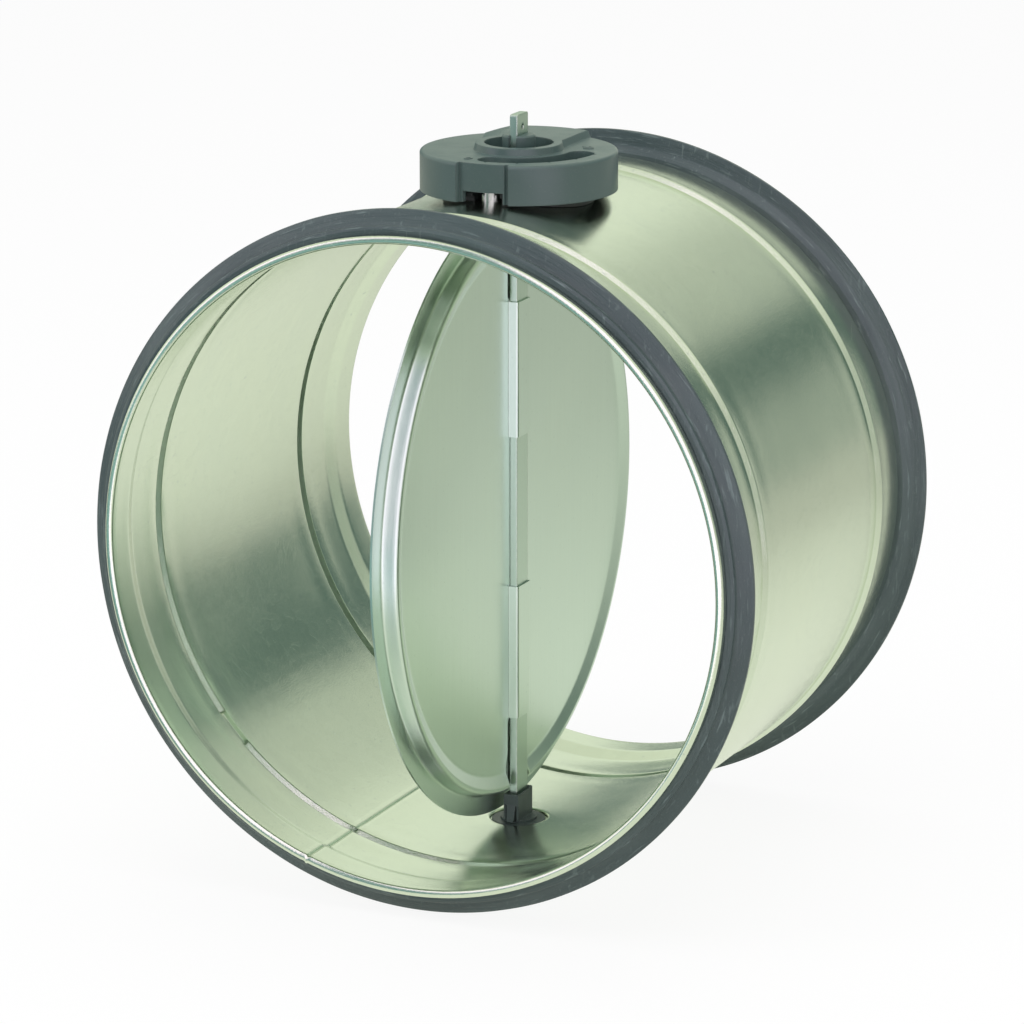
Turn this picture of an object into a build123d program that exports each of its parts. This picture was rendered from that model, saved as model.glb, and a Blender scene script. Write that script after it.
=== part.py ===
from build123d import *
from math import cos, radians, sin, sqrt
import os

# Round volume control damper for a 250 mm spiral duct.
# Millimetres. +Z runs up the blade's shaft to the knob, +Y along the duct from the
# front spigot to the rear one, X across it. The origin is the centre of the front
# gasket's sealing crest, on the duct axis.

# Casing: one rolled sheet with a hemmed end, a gasket seat and a stop bead at each end
casing_length = 206.0
casing_radius = 124.4  # outside of the plain tube
casing_sheet = 0.7
hem_length = 3.5
hem_width = 3.1  # between the outer faces of the folded end
seat_length = 15.6  # end face to the step behind the gasket
step_length = 2.4
insertion_length = 42.2  # end face to the middle of the stop bead
bead_width = 6.8
bead_crest_width = 2.0
bead_height = 2.0
seam_angle = -109.7  # where the lock seam lies, from +X towards +Z
seam_width = 6.0
seam_height = 1.1

# Gaskets: double lip, pressed under the hem
crest_from_end = 10.5
crest_height = 8.5  # sealing crest above the plain tube
crest_land = 1.5
gasket_slack = 0.05
first_lip_height = 3.0

# Flat bar shaft
bar_width = 10.0
bar_thickness = 3.0
bar_reach = 29.1  # top of the bar above the plain tube
bar_fit = 0.05
bar_hole_radius = 1.1
bar_hole_below_top = 5.0

# Blade: one pressed sheet, threaded on the bar by two straps
blade_clearance = 4.1  # blade's edge to the inside of the tube
blade_sheet = 0.8
rim_width = 8.6  # flat flange outside the step
rim_setback = 4.9  # field face to flange face, away from the bar
ridge_height = 2.0  # crest above the field face
ridge_width = 6.5
strap_inner_end = 29.5
strap_edge_gap = 37.6  # strap's outer end to the blade's edge

# Bearings and bar holders
hole_clearance = 0.1
barrel_radius = 9.0
journal_radius = 7.0
journal_fit = 0.05
seat_rim_radius = 11.2  # flat seat pressed outward round each shaft hole
seat_depth = 1.2
flange_radius = 10.5
flange_thickness = 0.9
holder_width = 6.2  # across the bar's thickness
holder_length = 14.8
holder_height = 10.9
latch_below_top = 4.0  # where the latch tongue leaves the front wall
latch_flare = 1.2
ring_section = 1.2  # O-ring thickness
retainer_radius = 12.6
sheet_to_foot = 2.2  # casing's inner face to the bar's foot, inside the lower journal
retainer_thickness = 1.2
run_gap = 0.35  # between faces that turn past each other

# Knob and what stands under it
knob_radius = 37.4
knob_height = 15.0
plateau_height = 2.6
rim_round = 1.2
knob_wall = 2.2
knob_plate = 2.4
well_radius = 13.1
collar_radius = 17.0
hub_radius = 6.3
hub_height = 20.7
slot_radius = 25.25
slot_width = 10.5
lock_slot_width = 5.4
lock_floor = 2.3
recess_depth = 2.0
channel_wall = 1.6
rib_thickness = 1.4
recess_from, recess_to = -105.0, -72.5
window_from, window_to = -102.5, -76.0
window_height = 4.2
base_radius = 29.0
base_thickness = 2.0
turn_range = 90.0

floor_height = 5.0  # knob's lower edge to the underside of the slot's floor
rivet_head_height = 1.2
screw_reach = 3.0  # below the casing's inner face

# Locking screw, M5
screw_radius = 2.4
head_radius = 4.55
head_height = 3.1
washer_radius = 4.9
washer_thickness = 1.0
spring_washer_thickness = 1.1
sleeve_radius = 4.0
sleeve_head_radius = 6.0
sleeve_head_thickness = 0.8

rivet_radius = 1.6
rivet_places = ((-8.0, 25.0), (8.0, 25.0))

# Worked out from the sizes above
front_face = -crest_from_end
rear_face = front_face + casing_length
shaft_y = front_face + casing_length / 2
inner_radius = casing_radius - casing_sheet
seat_radius = casing_radius - hem_width + casing_sheet  # outer face of the gasket seat
crest_radius = casing_radius + crest_height
first_lip_radius = casing_radius + first_lip_height
bar_top = casing_radius + bar_reach
blade_radius = inner_radius - blade_clearance
strap_outer_end = blade_radius - strap_edge_gap
base_top = casing_radius + base_thickness
retainer_bottom = base_top + gasket_slack
knob_bottom = casing_radius + 0.5
knob_low_top = knob_bottom + knob_height
hub_top = knob_bottom + hub_height
shaft_axis = Axis((0, shaft_y, 0), (0, 0, 1))
disc_axis = Axis((0, shaft_y, 0), (1, 0, 0))
shaft_section = Plane(origin=(0, shaft_y, 0), x_dir=(1, 0, 0), z_dir=(0, -1, 0))
disc_section = Plane(origin=(0, shaft_y, 0), x_dir=(0, 0, 1), z_dir=(0, 1, 0))

os.makedirs("parts", exist_ok=True)


def level(height):
    # Horizontal plane at a height above the duct axis, centred on the shaft.
    return Plane(origin=(0, shaft_y, height))


def station(y):
    # Upright plane across the duct at y, facing +Y.
    return Plane(origin=(0, y, 0), x_dir=(-1, 0, 0), z_dir=(0, 1, 0))


def polar(radius, angle):
    return (radius * cos(radians(angle)), radius * sin(radians(angle)))


def turned(points, side, mode=Mode.ADD):
    # Revolves an outline of (radius, distance from the duct axis) about the shaft.
    with BuildSketch(shaft_section) as outline:
        with BuildLine():
            Polyline(*[(r, side * h) for r, h in points], close=True)
        make_face()
    revolve(outline.sketch, axis=shaft_axis, mode=mode)


def save(builder, name):
    builder.part.label = name
    export_step(builder.part, f"parts/{name}.step")


# ---- Casing
def casing_line():
    # Middle of the sheet, front half, as distance from the end face and radius.
    mid = casing_sheet / 2
    tube = casing_radius - mid
    seat = seat_radius - mid
    bead = insertion_length
    return [
        (hem_length, tube),
        (mid, tube),
        (mid, seat),
        (seat_length, seat),
        (seat_length + step_length, tube),
        (bead - bead_width / 2, tube),
        (bead - bead_crest_width / 2, tube + bead_height),
        (bead + bead_crest_width / 2, tube + bead_height),
        (bead + bead_width / 2, tube),
    ]


half = casing_line()
path = [(front_face + s, r) for s, r in half] + [(rear_face - s, r) for s, r in reversed(half)]
hem_bend = (casing_radius - seat_radius) / 2 - 0.02
half_bends = [hem_bend, hem_bend] + [1.0] * (len(half) - 3)

seat_face = inner_radius + seat_depth
seat_back = casing_radius + seat_depth

with BuildPart() as bearing_seats:
    for side in (1, -1):
        turned([(0, seat_face), (seat_rim_radius, seat_face), (seat_rim_radius, inner_radius - 1.2),
                (seat_rim_radius + casing_sheet, inner_radius - 1.2),
                (seat_rim_radius + casing_sheet, seat_back), (0, seat_back)], side)
    with BuildSketch(Plane.XZ.offset(-shaft_y - 20)):
        Circle(casing_radius - casing_sheet / 2)
    extrude(amount=40, mode=Mode.SUBTRACT)

with BuildPart() as casing:
    with BuildSketch(Plane.YZ):
        with BuildLine():
            FilletPolyline(*path, radius=half_bends + half_bends[::-1])
            offset(amount=casing_sheet / 2, side=Side.BOTH)
        make_face()
    revolve(axis=Axis.Y)
    # Lock seam: the sheet's edges folded together, standing proud outside
    seam_start = seat_length + step_length + 1
    with BuildSketch(station(front_face + seam_start)):
        with PolarLocations(0, 1, start_angle=180 - seam_angle):
            with Locations((casing_radius - casing_sheet / 2 + seam_height / 2, 0)):
                Rectangle(seam_height + casing_sheet / 2, seam_width)
    extrude(amount=casing_length - 2 * seam_start)
    # Flat seats pressed outward for the bearings, top and bottom
    with BuildSketch(level(-casing_radius - 2)):
        Circle(seat_rim_radius + casing_sheet / 2)
    extrude(amount=2 * casing_radius + 4, mode=Mode.SUBTRACT)
    add(bearing_seats.part)
    # Shaft holes, top and bottom
    with BuildSketch(level(-casing_radius - 2)):
        Circle(barrel_radius + hole_clearance)
    extrude(amount=2 * casing_radius + 4, mode=Mode.SUBTRACT)
    # Holes on the crown for the threaded sleeve and the base's rivets
    with BuildSketch(level(inner_radius - 2)):
        with Locations((0, -slot_radius)):
            Circle(sleeve_radius + hole_clearance)
        with Locations(*rivet_places):
            Circle(rivet_radius + hole_clearance)
    extrude(amount=6, mode=Mode.SUBTRACT)
save(casing, "casing")


# ---- Gaskets
def gasket_outline():
    # Half a double lip seal in section, as distance from the end face and radius.
    foot = seat_radius + gasket_slack
    under_hem = casing_radius - casing_sheet - gasket_slack
    back = seat_length - 0.9
    crest = crest_from_end
    lip = hem_length + casing_sheet / 2 + 0.15
    return [
        (casing_sheet + 1.1, foot),
        (casing_sheet + 1.1, under_hem),
        (lip, under_hem),
        (lip, first_lip_radius - 1.2),
        (lip + 0.7, first_lip_radius),
        (lip + 1.6, first_lip_radius),
        (lip + 2.7, first_lip_radius - 1.3),
        (crest - crest_land / 2, crest_radius),
        (crest + crest_land / 2, crest_radius),
        (crest + 1.9, crest_radius - 5.6),
        (back, foot + 2.4),
        (back, foot),
    ]


for gasket_name, end_face, inward in (("front_gasket", front_face, 1), ("rear_gasket", rear_face, -1)):
    with BuildPart() as gasket:
        with BuildSketch(Plane.YZ):
            with BuildLine():
                Polyline(*[(end_face + inward * s, r) for s, r in gasket_outline()], close=True)
            make_face()
        revolve(axis=Axis.Y)
    save(gasket, gasket_name)

# ---- Blade: the sheet's front face is drawn from the centre out, then thickened back
field_face = -bar_thickness / 2 - bar_fit
ridge_radius = blade_radius - rim_width - 0.9
blade_line = [
    (0, field_face - blade_sheet / 2),
    (ridge_radius - ridge_width, field_face - blade_sheet / 2),
    (ridge_radius - 1.6, field_face + ridge_height - blade_sheet / 2),
    (ridge_radius, field_face + ridge_height - blade_sheet / 2),
    (ridge_radius + 0.9, field_face - rim_setback + blade_sheet / 2),
    (blade_radius - blade_sheet / 2, field_face - rim_setback + blade_sheet / 2),
]
strap_gap = bar_width / 2 + bar_fit
strap_face = bar_thickness / 2 + bar_fit + blade_sheet
strap_length = strap_outer_end - strap_inner_end
strap_middle = (strap_outer_end + strap_inner_end) / 2
notch_start = ridge_radius - ridge_width - 2

with BuildPart() as blade:
    with BuildSketch(disc_section):
        with BuildLine():
            FilletPolyline(*blade_line, radius=[5.0, 0.7, 0.7, 0.9])
            offset(amount=blade_sheet / 2, side=Side.BOTH)
        make_face()
        # The thickened line starts on the disc's axis
        with Locations((blade_radius / 2 + 1, field_face)):
            Rectangle(blade_radius + 2, 4 * rim_setback, mode=Mode.INTERSECT)
    revolve(axis=disc_axis)
    # Windows that the straps were pressed out of
    bar_plane = Plane(origin=(0, shaft_y, 0), x_dir=(0, 1, 0), z_dir=(1, 0, 0))
    strap_places = [(0, strap_middle), (0, -strap_middle)]
    with BuildSketch(bar_plane.offset(field_face - 2 * blade_sheet)):
        with Locations(*strap_places):
            Rectangle(2 * strap_gap, strap_length)
    extrude(amount=2 * blade_sheet + 0.01, mode=Mode.SUBTRACT)
    # Straps: the sheet steps over the bar's front and back down to the field
    with BuildSketch(bar_plane.offset(field_face - blade_sheet)):
        with Locations(*strap_places):
            Rectangle(2 * (strap_gap + blade_sheet), strap_length)
            Rectangle(2 * strap_gap, strap_length, mode=Mode.SUBTRACT)
    extrude(amount=strap_face - field_face + blade_sheet)
    with BuildSketch(bar_plane.offset(strap_face - blade_sheet)):
        with Locations(*strap_places):
            Rectangle(2 * strap_gap, strap_length)
    extrude(amount=blade_sheet)
    strap_edges = blade.edges().filter_by(Axis.Z).filter_by_position(
        Axis.X, strap_face - 0.01, strap_face + 0.01
    )
    fillet(strap_edges, blade_sheet * 0.9)
    # Notches where the bar leaves over the ridge
    with BuildSketch(bar_plane.offset(field_face)):
        with Locations((0, notch_start + 10), (0, -notch_start - 10)):
            RectangleRounded(2 * strap_gap + 2, 20, 1.5)
    extrude(amount=10, mode=Mode.SUBTRACT)
save(blade, "blade")

# ---- Flat bar shaft
shaft_foot = inner_radius + sheet_to_foot

with BuildPart() as shaft:
    with BuildSketch(level(-shaft_foot)):
        Rectangle(bar_thickness, bar_width)
    extrude(amount=shaft_foot + bar_top)
    chamfer(shaft.faces().sort_by(Axis.Z)[-1].edges().filter_by(Axis.X), 0.6)
    with BuildSketch(bar_plane.offset(-bar_thickness)):
        with Locations((0, bar_top - bar_hole_below_top)):
            Circle(bar_hole_radius)
    extrude(amount=2 * bar_thickness, mode=Mode.SUBTRACT)
save(shaft, "shaft")


# ---- Bearings and bar holders, the same at both ends of the shaft
flange_face = seat_face - flange_thickness
bore_radius = journal_radius + journal_fit
o_ring_middle = seat_face + 0.1

groove_floor = journal_radius + journal_fit - ring_section - 0.05
collar_top = flange_face - run_gap
latch_edge = holder_width / 2 - 0.8

for side_name, side, outer_end, journal_end in (
    ("upper", 1, retainer_bottom + retainer_thickness + 0.4, knob_bottom + 3.2),
    ("lower", -1, seat_back + retainer_thickness + 1.6, seat_back + 3.6),
):
    with BuildPart() as bearing:
        turned([(bore_radius, flange_face), (flange_radius - 0.3, flange_face),
                (flange_radius, flange_face + 0.3), (flange_radius, seat_face - gasket_slack),
                (barrel_radius, seat_face - gasket_slack), (barrel_radius, outer_end - 0.5),
                (barrel_radius - 0.5, outer_end), (bore_radius, outer_end)], side)
    save(bearing, f"{side_name}_bearing")

    with BuildPart() as holder:
        turned([(0, collar_top - 0.5), (0, journal_end), (journal_radius - 0.6, journal_end),
                (journal_radius, journal_end - 0.6),
                (journal_radius, o_ring_middle + 0.7), (groove_floor, o_ring_middle + 0.7),
                (groove_floor, o_ring_middle - 0.7), (journal_radius, o_ring_middle - 0.7),
                (journal_radius, collar_top - 0.5)], side)
        block_end = collar_top - holder_height
        block_plane = Plane(origin=(0, shaft_y, side * block_end), z_dir=(0, 0, side))
        with BuildSketch(block_plane):
            RectangleRounded(holder_width, holder_length, 1.6)
            with Locations((0, -3)):
                Rectangle(holder_width, holder_length - 6)
        extrude(amount=holder_height)
        # Latch tongue: the front wall leans out towards the foot, between two slits
        front_wall = -holder_length / 2
        latch_start = block_end + latch_below_top
        with BuildSketch(bar_plane):
            Polygon((front_wall + 0.5, side * latch_start), (front_wall, side * latch_start),
                    (front_wall - latch_flare, side * collar_top),
                    (front_wall + 0.5, side * collar_top), align=None)
        extrude(amount=latch_edge, both=True)
        with BuildSketch(shaft_section.offset(bar_width / 2 + 0.6)):
            for flank in (1, -1):
                Polygon((flank * 1.9, side * (latch_start + 0.4)),
                        (flank * latch_edge, side * (latch_start + 0.4)),
                        (flank * latch_edge, side * (collar_top + 0.01)),
                        (flank * 1.4, side * (collar_top + 0.01)), align=None)
        extrude(amount=holder_length / 2, mode=Mode.SUBTRACT)
        # Slot for the bar, flared at its mouth
        slot_end = journal_end + 1 if side > 0 else shaft_foot + bar_fit
        with BuildSketch(block_plane):
            Rectangle(bar_thickness + 2 * bar_fit, bar_width + 2 * bar_fit)
        extrude(amount=slot_end - block_end, mode=Mode.SUBTRACT)
        with BuildSketch(block_plane):
            Rectangle(holder_width - 1.2, bar_width + 2.4)
        extrude(amount=1.6, taper=32, mode=Mode.SUBTRACT)
    save(holder, f"{side_name}_bar_holder")

    with BuildPart() as o_ring:
        with BuildSketch(shaft_section):
            with Locations((groove_floor + ring_section / 2, side * o_ring_middle)):
                Circle(ring_section / 2 - 0.01)
        revolve(axis=shaft_axis)
    save(o_ring, f"{side_name}_o_ring")

    retainer_foot = retainer_bottom if side > 0 else seat_back + gasket_slack
    with BuildPart() as retainer:
        turned([(barrel_radius + gasket_slack, retainer_foot), (retainer_radius, retainer_foot),
                (retainer_radius, retainer_foot + retainer_thickness - 0.4),
                (retainer_radius - 0.4, retainer_foot + retainer_thickness),
                (barrel_radius + gasket_slack, retainer_foot + retainer_thickness)], side)
        # Radial slits let the ring's teeth spring over the barrel
        with BuildSketch(Plane(origin=(0, shaft_y, side * retainer_foot), z_dir=(0, 0, side))):
            with PolarLocations(barrel_radius + 1.0, 8):
                Rectangle(2.2, 0.8)
        extrude(amount=retainer_thickness, mode=Mode.SUBTRACT)
    save(retainer, f"{side_name}_retainer")


# ---- Knob's fixed base: a saddle on the casing's crown
notch_width = 2 * (sleeve_radius + 1.6)
with BuildPart() as knob_base:
    with BuildSketch(level(casing_radius - 6)):
        Circle(base_radius)
        Circle(barrel_radius + gasket_slack, mode=Mode.SUBTRACT)
    extrude(amount=base_thickness + 6)
    # The underside follows the casing and its pressed seat
    with BuildSketch(Plane.XZ.offset(-2 * shaft_y)):
        Circle(casing_radius + gasket_slack)
    extrude(amount=4 * shaft_y, mode=Mode.SUBTRACT)
    with BuildSketch(level(inner_radius)):
        Circle(seat_rim_radius + casing_sheet + gasket_slack)
    extrude(amount=seat_back + gasket_slack - inner_radius, mode=Mode.SUBTRACT)
    # Collar round the bearing, and two stop blocks beside the sleeve
    with BuildSketch(level(base_top)):
        Circle(retainer_radius + 2.2)
        Circle(retainer_radius + 0.6, mode=Mode.SUBTRACT)
    extrude(amount=retainer_thickness + 0.6)
    with BuildSketch(level(base_top)):
        with Locations((0, -slot_radius - 1.5)):
            Rectangle(notch_width + 8, 7)
            Rectangle(notch_width, 7, mode=Mode.SUBTRACT)
    extrude(amount=1.6)
    # Notch that the sleeve stands in
    with BuildSketch(level(casing_radius - 1)):
        with Locations((0, -slot_radius)):
            Circle(notch_width / 2)
        with Locations((0, -slot_radius - 10)):
            Rectangle(notch_width, 20)
    extrude(amount=10, mode=Mode.SUBTRACT)
    with BuildSketch(level(casing_radius - 3)):
        with Locations(*rivet_places):
            Circle(rivet_radius + hole_clearance)
    extrude(amount=10, mode=Mode.SUBTRACT)
save(knob_base, "knob_base")

with BuildPart() as base_rivets:
    for x, y in rivet_places:
        rivet_axis = Axis((x, shaft_y + y, 0), (0, 0, 1))
        rivet_plane = Plane(origin=(x, shaft_y + y, 0), x_dir=(1, 0, 0), z_dir=(0, -1, 0))
        sheet_face = sqrt(inner_radius**2 - x**2) - 0.25
        with BuildSketch(rivet_plane):
            with BuildLine():
                seat = base_top + 0.02
                dome = seat + rivet_head_height
                Polyline((0, dome), (0, sheet_face - 1.6), (rivet_radius + 0.5, sheet_face - 1.2),
                         (rivet_radius + 0.7, sheet_face), (rivet_radius, sheet_face),
                         (rivet_radius, seat), (2 * rivet_radius, seat),
                         (1.8 * rivet_radius, seat + 0.6 * rivet_head_height),
                         (1.1 * rivet_radius, dome), close=True)
            make_face()
        revolve(axis=rivet_axis)
save(base_rivets, "base_rivets")

# ---- Threaded sleeve, pressed into the crown, that the locking screw pulls on
lock_axis = Axis((0, shaft_y - slot_radius, 0), (0, 0, 1))
lock_section = Plane(origin=(0, shaft_y - slot_radius, 0), x_dir=(1, 0, 0), z_dir=(0, -1, 0))
floor_underside = knob_bottom + floor_height
sleeve_top = floor_underside - run_gap
floor_face = floor_underside + lock_floor


def lock_turned(points):
    with BuildSketch(lock_section) as outline:
        with BuildLine():
            Polyline(*points, close=True)
        make_face()
    revolve(outline.sketch, axis=lock_axis)


thread_radius = screw_radius + journal_fit
with BuildPart() as sleeve:
    under_sheet = sqrt(inner_radius**2 - sleeve_head_radius**2) - gasket_slack
    lock_turned([(thread_radius, sleeve_top), (sleeve_radius - 0.3, sleeve_top),
                 (sleeve_radius, sleeve_top - 0.3), (sleeve_radius, under_sheet),
                 (sleeve_head_radius, under_sheet), (sleeve_head_radius, under_sheet - sleeve_head_thickness),
                 (thread_radius, under_sheet - sleeve_head_thickness)])
save(sleeve, "threaded_sleeve")

washer_foot = floor_face + run_gap
spring_foot = washer_foot + washer_thickness + 0.02
head_foot = spring_foot + spring_washer_thickness + 0.02
screw_tip = inner_radius - screw_reach

with BuildPart() as lock_washer:
    lock_turned([(screw_radius + 0.1, washer_foot), (washer_radius, washer_foot),
                 (washer_radius, washer_foot + washer_thickness),
                 (screw_radius + 0.1, washer_foot + washer_thickness)])
save(lock_washer, "lock_washer")

with BuildPart() as spring_washer:
    lock_turned([(screw_radius + 0.1, spring_foot), (washer_radius - 0.7, spring_foot),
                 (washer_radius - 0.7, spring_foot + spring_washer_thickness),
                 (screw_radius + 0.1, spring_foot + spring_washer_thickness)])
    with BuildSketch(Plane(origin=(0, shaft_y - slot_radius, spring_foot))):
        with Locations((washer_radius / 2 + 1, 0)):
            Rectangle(washer_radius, 0.8, rotation=20)
    extrude(amount=spring_washer_thickness, mode=Mode.SUBTRACT)
save(spring_washer, "lock_spring_washer")

with BuildPart() as locking_screw:
    head_end = head_foot + head_height
    with BuildSketch(lock_section):
        with BuildLine():
            Polyline((0, head_end), (0, screw_tip), (screw_radius - 0.5, screw_tip),
                     (screw_radius, screw_tip + 0.6), (screw_radius, head_foot),
                     (head_radius, head_foot), (head_radius, head_foot + 0.5 * head_height))
            ThreePointArc((head_radius, head_foot + 0.5 * head_height),
                          (0.8 * head_radius, head_foot + 0.88 * head_height), (0, head_end))
        make_face()
    revolve(axis=lock_axis)
    # Cross recess
    with BuildSketch(Plane(origin=(0, shaft_y - slot_radius, head_end - 1.9))):
        Rectangle(5.2, 1.1)
        Rectangle(1.1, 5.2)
    extrude(amount=2.5, taper=-6, mode=Mode.SUBTRACT)
save(locking_screw, "locking_screw")


# ---- Knob: a moulded cap with a centre well, a split hub and an arc slot
def sector_ring(inner, outer, start, end):
    # Face of a ring's sector between two angles about the shaft.
    with BuildSketch() as ring:
        with BuildLine():
            CenterArc((0, 0), outer, start, end - start)
            Line(polar(outer, end), polar(inner, end))
            CenterArc((0, 0), inner, start, end - start)
            Line(polar(inner, start), polar(outer, start))
        make_face()
    return ring.sketch


slot_track = CenterArc((0, 0), slot_radius, -90, turn_range)
plate_underside = knob_low_top - knob_plate
wall_inside = knob_radius - knob_wall
slot_outer = slot_radius + slot_width / 2

# Raised plateau: a collar round the well and an arm to the rim along the bar's width.
# The arm falls steeply on the slot's side and gently on the other.
plateau_foot = knob_low_top - rim_round
plateau_top = knob_low_top + plateau_height
with BuildPart() as plateau:
    foot_line = [(14.6, 0), (14.6, 45), (-32.6, 45), (-16.2, 0)]
    with BuildSketch(level(knob_low_top)):
        Polygon(*foot_line, align=None)
    with BuildSketch(level(plateau_top)):
        Polygon((13.4, 0), (13.4, 45), (-18.9, 45), (-11.8, 0), align=None)
    loft(ruled=True)
    with BuildSketch(level(plateau_foot)):
        Polygon(*foot_line, align=None)
    extrude(amount=rim_round)
    with BuildSketch(level(knob_low_top)):
        Circle(collar_radius)
    extrude(amount=plateau_height, taper=14)
    with BuildSketch(shaft_section) as cap:
        with BuildLine():
            Polyline((0, plateau_foot), (0, plateau_top), (knob_radius - rim_round, plateau_top))
            RadiusArc((knob_radius - rim_round, plateau_top), (knob_radius, knob_low_top + plateau_height - rim_round), rim_round)
            Polyline((knob_radius, plateau_top - rim_round), (knob_radius, plateau_foot), (0, plateau_foot))
        make_face()
    revolve(cap.sketch, axis=shaft_axis, mode=Mode.INTERSECT)

with BuildPart() as knob:
    with BuildSketch(level(knob_bottom)):
        Circle(knob_radius)
    extrude(amount=knob_height)
    fillet(knob.faces().sort_by(Axis.Z)[-1].edges(), rim_round)
    add(plateau.part)
    # Recessed sector over the window, with a channel at its right end
    with BuildSketch(level(knob_bottom)):
        add(sector_ring(knob_radius - recess_depth, knob_radius + 1, recess_from, recess_to))
        with Locations(polar(knob_radius - 1.4, recess_from - 3)):
            Circle(2.2, mode=Mode.SUBTRACT)
        with Locations(polar(knob_radius - recess_depth, recess_to - 1)):
            Circle(0.8)
    extrude(amount=knob_height, mode=Mode.SUBTRACT)
    # Hollow underside
    with BuildSketch(level(knob_bottom)):
        Circle(wall_inside)
        stepped_wall = sector_ring(
            wall_inside - recess_depth, wall_inside + 1, recess_from - 2, recess_to + 2
        )
        add(stepped_wall, mode=Mode.SUBTRACT)
    extrude(amount=plate_underside - knob_bottom, mode=Mode.SUBTRACT)
    # Well, slot channel and stiffening ribs
    with BuildSketch(level(floor_underside)):
        Circle(well_radius + knob_wall)
        SlotArc(slot_track, slot_width + 2 * channel_wall)
        with PolarLocations((well_radius + wall_inside) / 2, 5, start_angle=30, angular_range=210):
            Rectangle(wall_inside - well_radius - 1, rib_thickness)
    extrude(amount=plate_underside - floor_underside)
    with BuildSketch(level(floor_face)):
        Circle(well_radius)
    extrude(amount=20, mode=Mode.SUBTRACT)
    with BuildSketch(level(floor_face)):
        SlotArc(slot_track, slot_width)
    extrude(amount=20, mode=Mode.SUBTRACT)
    with BuildSketch(level(knob_bottom)):
        SlotArc(slot_track, lock_slot_width)
    extrude(amount=20, mode=Mode.SUBTRACT)
    # Hub: two half round cheeks that grip the bar
    with BuildSketch(level(floor_face)):
        Circle(hub_radius)
    extrude(amount=hub_top - floor_face)
    chamfer(knob.faces().sort_by(Axis.Z)[-1].edges(), 0.6)
    with BuildSketch(level(floor_face)):
        Rectangle(bar_thickness + 2 * bar_fit, 2 * hub_radius + 1)
    extrude(amount=hub_top, mode=Mode.SUBTRACT)
    with BuildSketch(level(floor_underside)):
        Rectangle(bar_thickness + 2 * bar_fit, bar_width + 2 * bar_fit)
    extrude(amount=2 * lock_floor, mode=Mode.SUBTRACT)
    # Window in the skirt that shows the sleeve
    with BuildSketch(level(knob_bottom)):
        add(sector_ring(wall_inside - recess_depth - 1, knob_radius + 2, window_from, window_to))
    extrude(amount=window_height, mode=Mode.SUBTRACT)
    # Five pointer notches in the slot's outer edge, a quarter of the travel apart
    with BuildSketch(level(knob_low_top - 0.6)):
        with PolarLocations(slot_outer, 5, start_angle=-90, angular_range=turn_range, endpoint=True):
            Polygon((-0.5, -0.9), (1.3, 0), (-0.5, 0.9), align=None)
    extrude(amount=0.7, mode=Mode.SUBTRACT)
save(knob, "knob")
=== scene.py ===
import math

import bmesh
import bpy
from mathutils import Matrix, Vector, noise
from mathutils.geometry import delaunay_2d_cdt


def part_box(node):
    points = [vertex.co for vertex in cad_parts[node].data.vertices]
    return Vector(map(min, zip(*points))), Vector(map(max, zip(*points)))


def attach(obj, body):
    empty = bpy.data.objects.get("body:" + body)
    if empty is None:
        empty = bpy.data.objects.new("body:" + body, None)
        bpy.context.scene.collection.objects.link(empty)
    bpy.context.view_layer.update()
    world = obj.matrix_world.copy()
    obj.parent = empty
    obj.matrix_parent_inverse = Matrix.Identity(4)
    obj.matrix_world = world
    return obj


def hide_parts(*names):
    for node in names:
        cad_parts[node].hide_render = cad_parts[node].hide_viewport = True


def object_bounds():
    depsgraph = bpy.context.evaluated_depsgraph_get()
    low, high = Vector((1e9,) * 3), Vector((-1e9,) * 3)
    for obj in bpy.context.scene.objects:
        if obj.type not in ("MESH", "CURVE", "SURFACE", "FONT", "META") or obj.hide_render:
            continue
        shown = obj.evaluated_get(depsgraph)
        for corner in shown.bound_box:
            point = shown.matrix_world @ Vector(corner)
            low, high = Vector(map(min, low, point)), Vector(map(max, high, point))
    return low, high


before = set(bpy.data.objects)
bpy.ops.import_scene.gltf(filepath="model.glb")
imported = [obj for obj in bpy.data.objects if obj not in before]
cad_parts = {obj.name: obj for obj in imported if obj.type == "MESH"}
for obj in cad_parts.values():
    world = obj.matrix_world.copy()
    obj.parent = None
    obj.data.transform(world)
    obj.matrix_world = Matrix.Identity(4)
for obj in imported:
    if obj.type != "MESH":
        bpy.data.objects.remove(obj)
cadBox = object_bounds()
print("frame loaded,", len(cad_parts), "nodes")

scene = bpy.context.scene
casingLow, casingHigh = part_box("casing")
shaftLow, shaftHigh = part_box("shaft")
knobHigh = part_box("knob")[1]
bladeLow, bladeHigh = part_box("blade")
shaftY = (shaftLow.y + shaftHigh.y) / 2
mm = 0.001


# camera, on the side of the front spigot and a little above the duct's axis
cameraView = {"azimuth": 23.889, "elevation": 14.324, "distance": 1.8717, "lens": 171.6,
              "aim": (-0.00226, shaftY - 0.00131, -0.00117)}


def placeCamera(view):
    turn, lift = math.radians(view["azimuth"]), math.radians(view["elevation"])
    away = Vector((math.sin(turn) * math.cos(lift), -math.cos(turn) * math.cos(lift), math.sin(lift)))
    data = bpy.data.cameras.new("studioCamera")
    data.lens = view["lens"]
    data.sensor_width = 36
    data.clip_end = 20
    camera = bpy.data.objects.new("studioCamera", data)
    camera.location = Vector(view["aim"]) + away * view["distance"]
    camera.rotation_euler = (-away).to_track_quat("-Z", "Y").to_euler()
    scene.collection.objects.link(camera)
    scene.camera = camera


placeCamera(cameraView)
scene.view_settings.view_transform = "Standard"
print("camera placed")


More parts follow.
